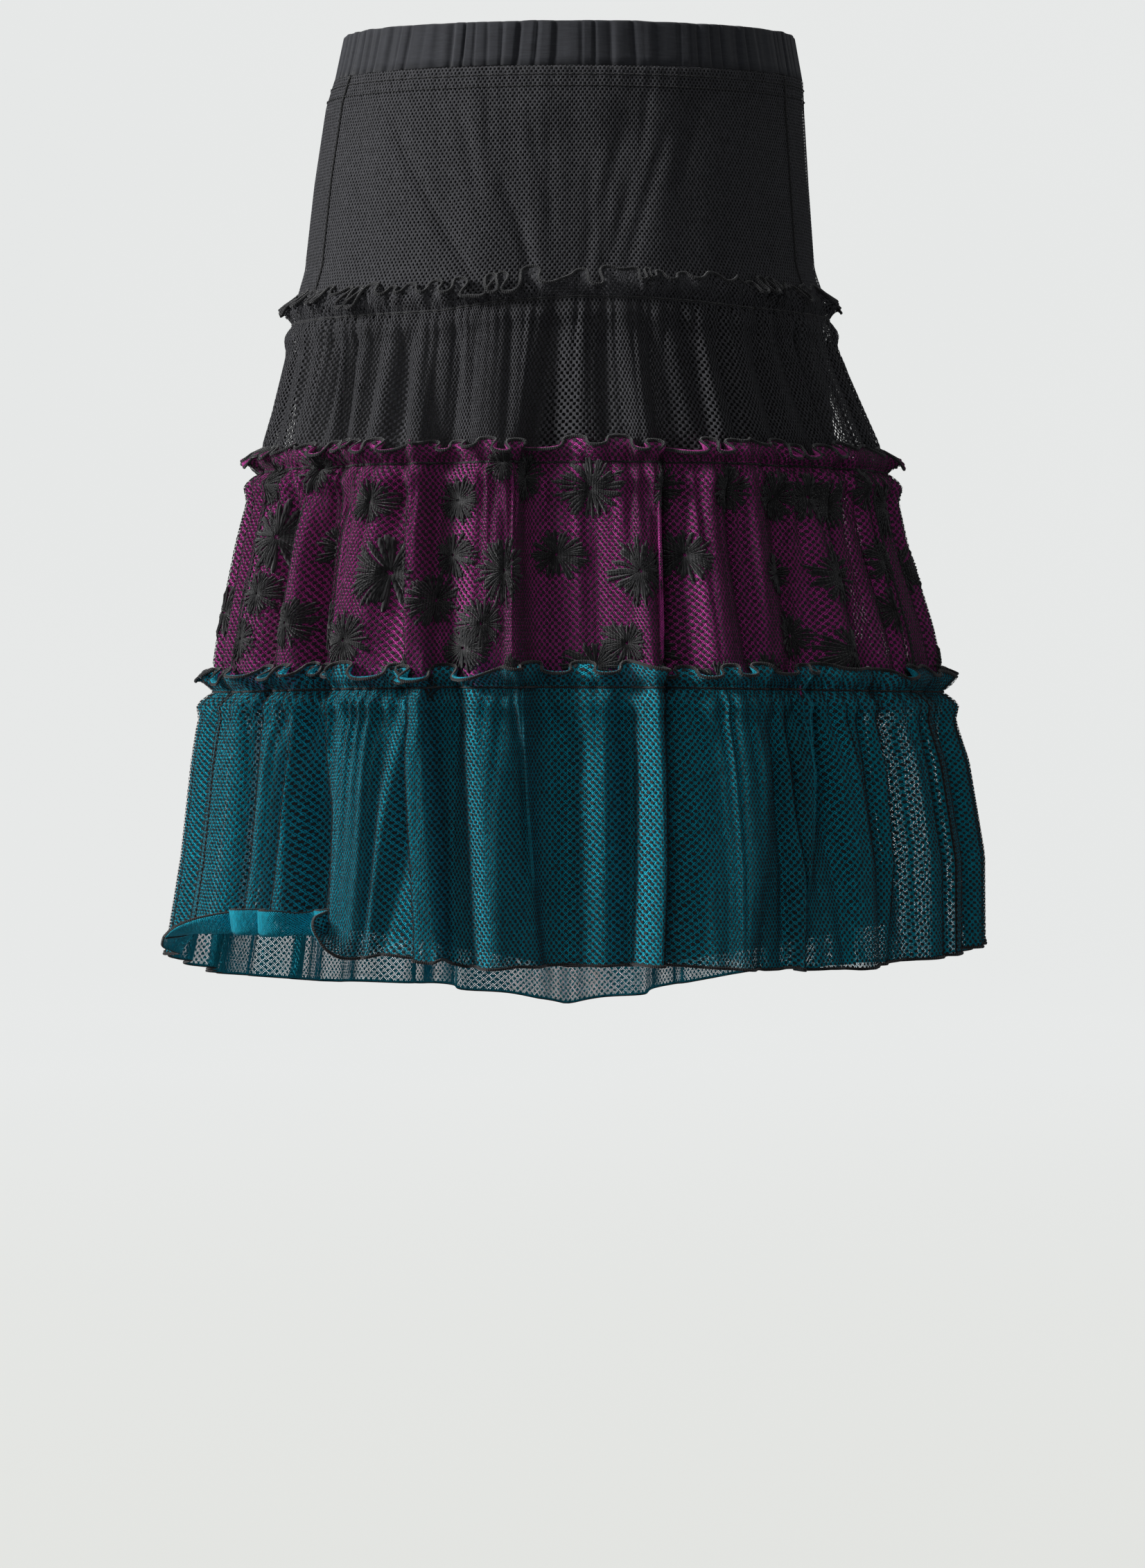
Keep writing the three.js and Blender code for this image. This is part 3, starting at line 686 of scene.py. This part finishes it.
class SkirtSizes(bpy.types.PropertyGroup):
    """Sizes that a maker may change"""

    net_thickness: length_field("Net thickness", "Thickness of each net", 0.0003)
    lining_thickness: length_field("Lining thickness", "Thickness of the lining", 0.0003)
    edge_cord: length_field("Edge cord", "Radius of the overlocked edges", 0.001)
    stitch_length: length_field("Stitch length", "Length of a topstitch", 0.0026)
    daisy_spokes: bpy.props.IntProperty(
        name="Daisy spokes", description="Spokes of each stitched daisy", default=46, min=12, max=60)


class SkirtColours(bpy.types.PropertyGroup):
    """Colours of the cloths and the thread"""

    slate: colour_field("Waistband", "Woven casing", (0.027, 0.0285, 0.0345))
    black: colour_field("Black net", "Yoke and first tier", (0.055, 0.055, 0.0605))
    veil: colour_field("Outer net", "Outer net of the coloured tiers", (0.03, 0.0305, 0.032))
    lining: colour_field("Lining", "Lining cloth", (0.005, 0.005, 0.006))
    plum: colour_field("Plum net", "Under net of the second tier", (0.74, 0.075, 0.46))
    teal: colour_field("Teal net", "Under net of the third tier", (0.008, 0.54, 0.76))
    thread: colour_field("Thread", "Edges, seams and daisies", (0.0145, 0.0145, 0.0155))


class StudioLook(bpy.types.PropertyGroup):
    """Floor, lamps and backdrop"""

    floor_height: bpy.props.FloatProperty(
        name="Floor height", description="Height of the studio floor", default=-1.03, unit="LENGTH")
    key_power: bpy.props.FloatProperty(
        name="Key light", description="Power of the key light", default=172.0, unit="POWER")
    surround: bpy.props.FloatProperty(
        name="Surround", description="Strength of the even light", default=0.15)
    backdrop_glow: bpy.props.FloatProperty(
        name="Backdrop glow", description="Own light of the backdrop", default=1.0)


def dress(piece, slot, finish, *nodes):
    """Gives a piece its finish, lets it ride on the one body, and hides what it stands for. The slot argument
    is not used.
    """
    piece.data.materials.clear()
    piece.data.materials.append(finish)
    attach(piece, "root")
    if nodes:
        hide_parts(*nodes)
    return piece


def thread_material(colours):
    """The one thread finish that edges, seams and daisies share."""
    return bpy.data.materials.get("Black thread") or thread_finish("Black thread", colours.thread)


def band_rings(panel):
    """Waistband: a closed upright profile carried round the body's ring, as places in rings, share of
    the way along, and cloth sizes. Each pleat is sunk by a sharp bell of its phase's cosine and a
    soft cosine, both of seeded sizes, and the profile is skewed a little sideways."""
    top, half = BAND_HALF_HEIGHT, BAND_WALL / 2
    corner = np.linspace(0, np.pi, 7)
    inset = np.concatenate(([0, 0, 0, 0], half - half * np.cos(corner), [BAND_WALL] * 3))
    height = np.concatenate(([-top, -8, 0, 8], top - half + half * np.sin(corner), [4, -6, -top]))
    pleats, count = panel["band"], panel["band"] * 2
    s = np.linspace(0, 1, pleats * 18 + 1)[:, None]
    angle = panel_angle(panel, crowded("band", s))
    phase = np.pi + 2 * np.pi * pleats * s
    sharp = np.exp(-(np.cos(phase + 1.3 * drift(s, count, 3)) / 0.3) ** 2)
    soft = 0.5 - 0.5 * np.cos(phase + 1.5 * drift(s, count, 4))
    depth = sharp * (1.5 + 1.4 * drift(s, count, 5)) + 0.9 * soft * (1 + 0.6 * drift(s, count, 6))
    z = height[None, :] + 0.35 * drift(s, count, 8) * np.sign(height)
    point, outward, along, radius = ring(BODY, angle, np.clip(height, -top, top)[None, :])
    skew = 0.8 * drift(s, count, 9) * height[None, :] / top
    held = 1 - 0.35 * np.exp(-(((np.abs(height) - top) / 3.0) ** 2))
    place = point + outward * (-inset - depth * held)[..., None] + along * skew[..., None]
    place[..., 2] = z
    run = np.concatenate(([0], np.cumsum(np.hypot(np.diff(inset), np.diff(height)))))
    width = girth(panel, radius) * BAND_FULLNESS
    across = np.stack(np.broadcast_arrays(s * width, run[None, :]), -1).reshape(-1, 2)
    return place, across, width


class SKIRT_OT_waistband(bpy.types.Operator):
    """Gathered casing of the waist elastic"""

    bl_idname = "skirt.waistband"
    bl_label = "Waistband"

    def execute(self, context):
        colours = context.scene.skirt_colours
        finish = woven_finish("Slate weave", colours.slate, 0.55, 0.55, 0.25, 0.78)
        for panel in PANELS:
            side = panel["side"]
            place, across, width = band_rings(panel)
            index = np.arange(place[..., 0].size).reshape(place.shape[:2])
            faces = wrapped_faces(index) + [index[0].tolist(), index[-1][::-1].tolist()]
            piece = put_mesh(f"gathered_waistband_{side}", place.reshape(-1, 3), faces, across)
            dress(piece, "slate_cloth", finish, f"waistband_{side}")
        return {"FINISHED"}


class SKIRT_OT_yoke(bpy.types.Operator):
    """Net yoke with its side seams and two rows of topstitching"""

    bl_idname = "skirt.yoke"
    bl_label = "Yoke"

    def execute(self, context):
        sizes, colours = context.scene.skirt_sizes, context.scene.skirt_colours
        finish = net_finish("Black yoke net", colours.black, (2.5, 3.9), 0.26, wander=0.35)
        thread = thread_material(colours)
        for panel in PANELS:
            made, side = yoke_grid(panel, 0), panel["side"]
            piece = put_sheet(f"yoke_net_{side}", made, sizes.net_thickness)
            dress(piece, "black_net", finish, f"yoke_{side}")
            normals = normals_of(made["grid"])
            seam = tube_parts(made["grid"][:, 0] + normals[:, 0] * 0.2, normals[:, 0], 0.9)
            seams = dress(put_tubes(f"yoke_side_seam_{side}", [seam]), "black_net", thread)
            stitches = self.topstitch(made, normals, sizes.stitch_length / MM)
            rows = dress(put_tubes(f"yoke_topstitching_{side}", stitches), "black_net", thread)
        return {"FINISHED"}

    def topstitch(self, made, normals, length):
        """Two rows of short stitches, each a small arch of five places on the cloth."""
        parts = []
        for fall in (5.7, 13.0):
            row = fall / made["length"] * (len(made["fall"]) - 1)
            count = int(made["width"] / (length + 0.9))
            starts = (np.arange(count) + 0.2) * (length + 0.9)
            along = starts[:, None] + np.linspace(0, length, 5)
            column = along / made["width"] * (len(made["across"]) - 1)
            lift = 0.45 * np.sin(np.linspace(0.1, 0.9, 5) * np.pi)
            rows = np.full_like(column, row)
            place = on_cloth(made["grid"], normals, rows, column, np.broadcast_to(lift, column.shape))
            up = on_cloth(normals, normals, rows, column, np.zeros_like(column))
            for path, raised in zip(place, up):
                parts.append(tube_parts(path, raised, 0.34, 4))
        return parts


class SKIRT_OT_lining(bpy.types.Operator):
    """Plain lining from the waist to above the hem"""

    bl_idname = "skirt.lining"
    bl_label = "Lining"

    def execute(self, context):
        sizes, colours = context.scene.skirt_sizes, context.scene.skirt_colours
        finish = woven_finish("Lining weave", colours.lining, 0.4, 0.2, 0.15, 0.6)
        thread = thread_material(colours)
        for panel in PANELS:
            made, side = lining_grid(panel), panel["side"]
            piece = put_sheet(f"plain_lining_{side}", made, sizes.lining_thickness)
            dress(piece, "lining_cloth", finish, f"lining_{side}")
            normals = normals_of(made["grid"])
            edge = tube_parts(made["grid"][-1], normals[-1], 0.6)
            hem = dress(put_tubes(f"lining_hem_edge_{side}", [edge]), "lining_cloth", thread)
        return {"FINISHED"}


def make_tier(context, name, outer, under):
    """A gathered tier: its outer net, the net under it, the overlocked edges and the side seams."""
    sizes, colours = context.scene.skirt_sizes, context.scene.skirt_colours
    thread = thread_material(colours)
    radius = sizes.edge_cord / MM
    for panel in PANELS:
        side = panel["side"]
        made = tier_grid(panel, name)
        normals = normals_of(made["grid"])
        piece = put_sheet(f"{outer['piece']}_{side}", made, sizes.net_thickness)
        dress(piece, outer["slot"], outer["finish"], f"{outer['node']}_{side}")
        gathering = made["grid"][FRILL_ROWS] + normals[FRILL_ROWS] * 0.2
        cords = [tube_parts(made["grid"][0], normals[0], radius),
                 tube_parts(gathering, normals[FRILL_ROWS], GATHERING_CORD, 4)]
        if name == "teal":
            cords.append(tube_parts(made["grid"][-1], normals[-1], radius))
        seam_path = made["grid"][FRILL_ROWS:, 0] - normals[FRILL_ROWS:, 0] * 1.2
        cords.append(tube_parts(seam_path, normals[FRILL_ROWS:, 0], SEAM_CORD))
        edges = dress(put_tubes(f"{name}_tier_edges_{side}", cords), outer["slot"], thread)
        if under:
            lower = dict(made, grid=made["grid"] - normals * LAYER_GAP)
            net = put_sheet(f"{under['piece']}_{side}", lower, sizes.net_thickness)
            dress(net, under["slot"], under["finish"], f"{under['node']}_{side}")


class SKIRT_OT_black_tier(bpy.types.Operator):
    """First gathered tier, black net"""

    bl_idname = "skirt.black_tier"
    bl_label = "Black tier"

    def execute(self, context):
        colours = context.scene.skirt_colours
        finish = net_finish("Black tier net", colours.black, (2.7, 4.1), 0.42, wander=0.6)
        outer = {"piece": "black_tier_net", "node": "black_tier", "slot": "black_net", "finish": finish,
                 "above": "yoke_net"}
        make_tier(context, "black", outer, None)
        return {"FINISHED"}


class SKIRT_OT_daisies(bpy.types.Operator):
    """Stitched daisies on the outer net of the second tier"""

    bl_idname = "skirt.daisies"
    bl_label = "Daisies"

    def execute(self, context):
        sizes, colours = context.scene.skirt_sizes, context.scene.skirt_colours
        thread = thread_material(colours)
        for panel in PANELS:
            made, side = tier_grid(panel, "plum"), panel["side"]
            stitched = self.stitch(made, *self.places(panel), sizes.daisy_spokes)
            piece = put_mesh(f"daisies_{side}", *stitched)
            dress(piece, "daisy_net", thread)
        return {"FINISHED"}

    def places(self, panel):
        """Centres and radii: a table for the back; for the front uneven rows, each a third of a step
        on from the last."""
        if panel["side"] == "back":
            wanted = (values_of(DAISIES, "degrees") - panel["from"]) / (panel["to"] - panel["from"])
            fine = np.linspace(0, 1, 400)
            share = np.interp(wanted, crowded("plum", fine), fine)
            return share, values_of(DAISIES, "down") / 100, values_of(DAISIES, "radius")
        many = FRONT_DAISIES
        order = np.arange(many)
        line, place = order % FRONT_LINES, order // FRONT_LINES
        step = place + 0.33 * line + 0.12 * drift(order / many, many, 91)
        share = np.clip(step / (many // FRONT_LINES) + 0.02, 0.02, 0.97)
        down = 0.14 + 0.36 * line + 0.1 * drift(order / many, many, 92)
        return share, down, 15.5 + 4.5 * drift(order / many, many, 93)

    def stitch(self, made, share, down, radius, spokes):
        """Each spoke is a three-sided tapered bar from the centre ring to a knot at its outer end, bent
        a little in its plane and laid on the cloth."""
        rng = np.random.default_rng(5)
        grid, normals = made["grid"], normals_of(made["grid"])
        stations = np.array((0.08, 0.3, 0.6, 0.88, 1.0))
        breadth = np.array((0.3, 0.55, 0.9, 1.15, 0.7))
        lift = np.array((0.9, 0.8, 0.7, 0.9, 0.3))
        many, sides = len(share), 3
        turn = (np.arange(spokes) / spokes)[None, :, None] * 2 * np.pi + rng.uniform(0, 6, (many, 1, 1))
        turn = turn + rng.uniform(-0.06, 0.06, (many, spokes, 1))
        turn = turn + 0.12 * stations * rng.uniform(-1, 1, (many, spokes, 1))
        reach = radius[:, None, None] * stations * rng.uniform(0.76, 1.08, (many, spokes, 1))
        around = np.linspace(0, 2 * np.pi, sides, endpoint=False) + np.pi / 2
        side = breadth[:, None] * np.cos(around) * (radius[:, None, None, None] / 18)
        raised = lift[:, None] * (0.55 + 0.6 * np.sin(around))
        u = reach[..., None] * np.cos(turn)[..., None] - side * np.sin(turn)[..., None]
        v = reach[..., None] * np.sin(turn)[..., None] + side * np.cos(turn)[..., None]
        fall = made["fall"]
        drop = fall[-1] - fall[FRILL_ROWS]
        cell = made["across"][1] - made["across"][0]
        column = share[:, None, None, None] * (grid.shape[1] - 1) + u / cell
        place = fall[FRILL_ROWS] + down[:, None, None, None] * drop + v
        row = np.interp(place, fall, np.arange(len(fall)))
        raised = np.broadcast_to(raised, column.shape)
        points = on_cloth(grid, normals, row, column, raised)
        index = np.arange(points[..., 0].size).reshape(many * spokes, len(stations), sides)
        caps = np.concatenate((index[:, 0], index[:, -1, ::-1]))
        across = np.stack((u, v), -1).reshape(-1, 2)
        return points.reshape(-1, 3), wrapped_faces(index) + caps.tolist(), across


class SKIRT_OT_plum_tier(bpy.types.Operator):
    """Second gathered tier, black net with daisies over plum net"""

    bl_idname = "skirt.plum_tier"
    bl_label = "Plum tier"

    def execute(self, context):
        colours = context.scene.skirt_colours
        veil = net_finish("Daisy ground net", colours.veil, (3.0, 4.2), 0.66)
        plum = net_finish("Plum under net", colours.plum, (0.9, 1.6), 0.3, wander=1.3)
        outer = {"piece": "daisy_ground_net", "node": "daisy_net", "slot": "daisy_net", "finish": veil,
                 "above": "black_tier_net"}
        under = {"piece": "plum_under_net", "node": "plum_net", "slot": "plum_net", "finish": plum}
        make_tier(context, "plum", outer, under)
        return {"FINISHED"}


class SKIRT_OT_teal_tier(bpy.types.Operator):
    """Third gathered tier, black net over teal net, with the turned hem"""

    bl_idname = "skirt.teal_tier"
    bl_label = "Teal tier"

    def execute(self, context):
        colours = context.scene.skirt_colours
        veil = net_finish("Veil net", colours.veil, (3.0, 4.2), 0.71, sheen=0.03, wander=0.8)
        teal = net_finish("Teal under net", colours.teal, (0.9, 1.6), 0.34, wander=1.3)
        outer = {"piece": "veil_over_net", "node": "veil_net", "slot": "veil_net", "finish": veil,
                 "above": "daisy_ground_net"}
        under = {"piece": "teal_under_net", "node": "teal_net", "slot": "teal_net", "finish": teal}
        make_tier(context, "teal", outer, under)
        return {"FINISHED"}


LIGHTS = {
    "Key light": {"place": (-3.5, -1.15, 1.3), "size": 1.3, "share": 1},
    "Fill light": {"place": (-0.6, -3.6, 0.9), "size": 1.5, "share": 0.06},
}
AIM = (0, 0, -0.3)
CAMERA = {"place": (0, -3.3, -0.358), "down": 1.776, "lens": 118.8, "film": 36}
SURROUND_COLOUR = (0.93, 0.96, 1.0, 1)


class SKIRT_OT_stage(bpy.types.Operator):
    """Pale curved backdrop, soft studio light and the camera"""

    bl_idname = "skirt.stage"
    bl_label = "Stage"

    def execute(self, context):
        look = context.scene.studio_look
        scene = context.scene
        self.backdrop(look)
        for name, row in LIGHTS.items():
            self.light(name, row["place"], row["size"], look.key_power * row["share"])
        world = bpy.data.worlds.new("Studio surround")
        world.use_nodes = True
        background = world.node_tree.nodes["Background"]
        background.inputs[0].default_value = SURROUND_COLOUR
        background.inputs[1].default_value = look.surround
        scene.world = world
        scene.view_settings.view_transform = "Standard"
        scene.cycles.transparent_max_bounces = 64
        lens = bpy.data.cameras.new("Camera")
        lens.sensor_fit = "AUTO"
        lens.sensor_width = CAMERA["film"]
        lens.lens = CAMERA["lens"]
        camera = bpy.data.objects.new("Camera", lens)
        camera.location = CAMERA["place"]
        camera.rotation_euler = (math.radians(90 - CAMERA["down"]), 0, 0)
        scene.collection.objects.link(camera)
        scene.camera = camera
        return {"FINISHED"}

    def backdrop(self, look):
        """Round studio floor whose rim bends up into a wall: a profile of a flat run, a quarter circle
        and an upright, turned about the upright axis. It is seen, but sends no light to the skirt."""
        bend, reach, floor = 2.5, 8.0, look.floor_height
        turn = np.linspace(0, np.pi / 2, 16)
        out = np.concatenate(([0.001], reach - bend + bend * np.sin(turn), [reach])) * 1000
        z = (floor + np.concatenate(([0], bend - bend * np.cos(turn), [9]))) * 1000
        around = np.linspace(0, 2 * np.pi, 49)
        x, y = np.cos(around)[:, None] * out, np.sin(around)[:, None] * out
        points = np.stack(np.broadcast_arrays(x, y, z), -1)
        piece = put_mesh("Backdrop", points.reshape(-1, 3), grid_faces(len(around), len(out)).tolist())
        made = Finish("Backdrop paper")
        place = made.node("ShaderNodeTexCoord", output=3)
        # Painted shade: the backdrop's glow is darker on the floor near the camera and grows lighter towards
        # the wall behind.
        near = made.span(made.node("ShaderNodeSeparateXYZ", {0: place}, output=1), 0.2, 4.5)
        wall = made.mix(made.noise(0.6), (0.775, 0.79, 0.785, 1), (0.8, 0.81, 0.805, 1))
        tone = made.mix(near, (0.735, 0.745, 0.72, 1), wall)
        piece.data.materials.append(made.finish(
            Base_Color=(0.02, 0.02, 0.02, 1), Roughness=1.0, Emission_Color=tone,
            Emission_Strength=look.backdrop_glow))
        piece.visible_diffuse = False
        piece.visible_glossy = False

    def light(self, name, place, size, power):
        """A round soft lamp aimed at the skirt, out of the camera's sight."""
        lamp = bpy.data.lights.new(name, "AREA")
        lamp.shape = "DISK"
        lamp.size = size
        lamp.energy = power
        made = bpy.data.objects.new(name, lamp)
        made.location = place
        aim = Vector(AIM) - Vector(place)
        made.rotation_euler = aim.to_track_quat("-Z", "Y").to_euler()
        made.visible_camera = False
        bpy.context.scene.collection.objects.link(made)


GROUPS = {"skirt_sizes": SkirtSizes, "skirt_colours": SkirtColours, "studio_look": StudioLook}
OPERATORS = (
    SKIRT_OT_yoke,
    SKIRT_OT_waistband,
    SKIRT_OT_lining,
    SKIRT_OT_black_tier,
    SKIRT_OT_daisies,
    SKIRT_OT_plum_tier,
    SKIRT_OT_teal_tier,
    SKIRT_OT_stage,
)


class SKIRT_PT_panel(bpy.types.Panel):
    """Sizes, colours and the studio, with a button for each step"""

    bl_idname = "SKIRT_PT_panel"
    bl_label = "Tiered midi skirt"
    bl_space_type = "VIEW_3D"
    bl_region_type = "UI"
    bl_category = "Skirt"

    def draw(self, context):
        for group in (getattr(context.scene, name) for name in GROUPS):
            for field in group.bl_rna.properties:
                if not field.is_readonly and field.identifier != "name":
                    self.layout.prop(group, field.identifier)
        for operator in OPERATORS:
            self.layout.operator(operator.bl_idname)


CLASSES = (*GROUPS.values(), *OPERATORS, SKIRT_PT_panel)


def register():
    """Makes the classes and their properties known to Blender."""
    for made in CLASSES:
        bpy.utils.register_class(made)
    for name, group in GROUPS.items():
        setattr(bpy.types.Scene, name, bpy.props.PointerProperty(type=group))


def unregister():
    """Takes the properties and classes away again."""
    for name in GROUPS:
        delattr(bpy.types.Scene, name)
    for made in reversed(CLASSES):
        bpy.utils.unregister_class(made)


def main():
    """Builds every piece and the stage."""
    register()
    bpy.ops.skirt.yoke()
    bpy.ops.skirt.waistband()
    bpy.ops.skirt.lining()
    bpy.ops.skirt.black_tier()
    bpy.ops.skirt.daisies()
    bpy.ops.skirt.plum_tier()
    bpy.ops.skirt.teal_tier()
    bpy.ops.skirt.stage()


if __name__ == "__main__":
    main()
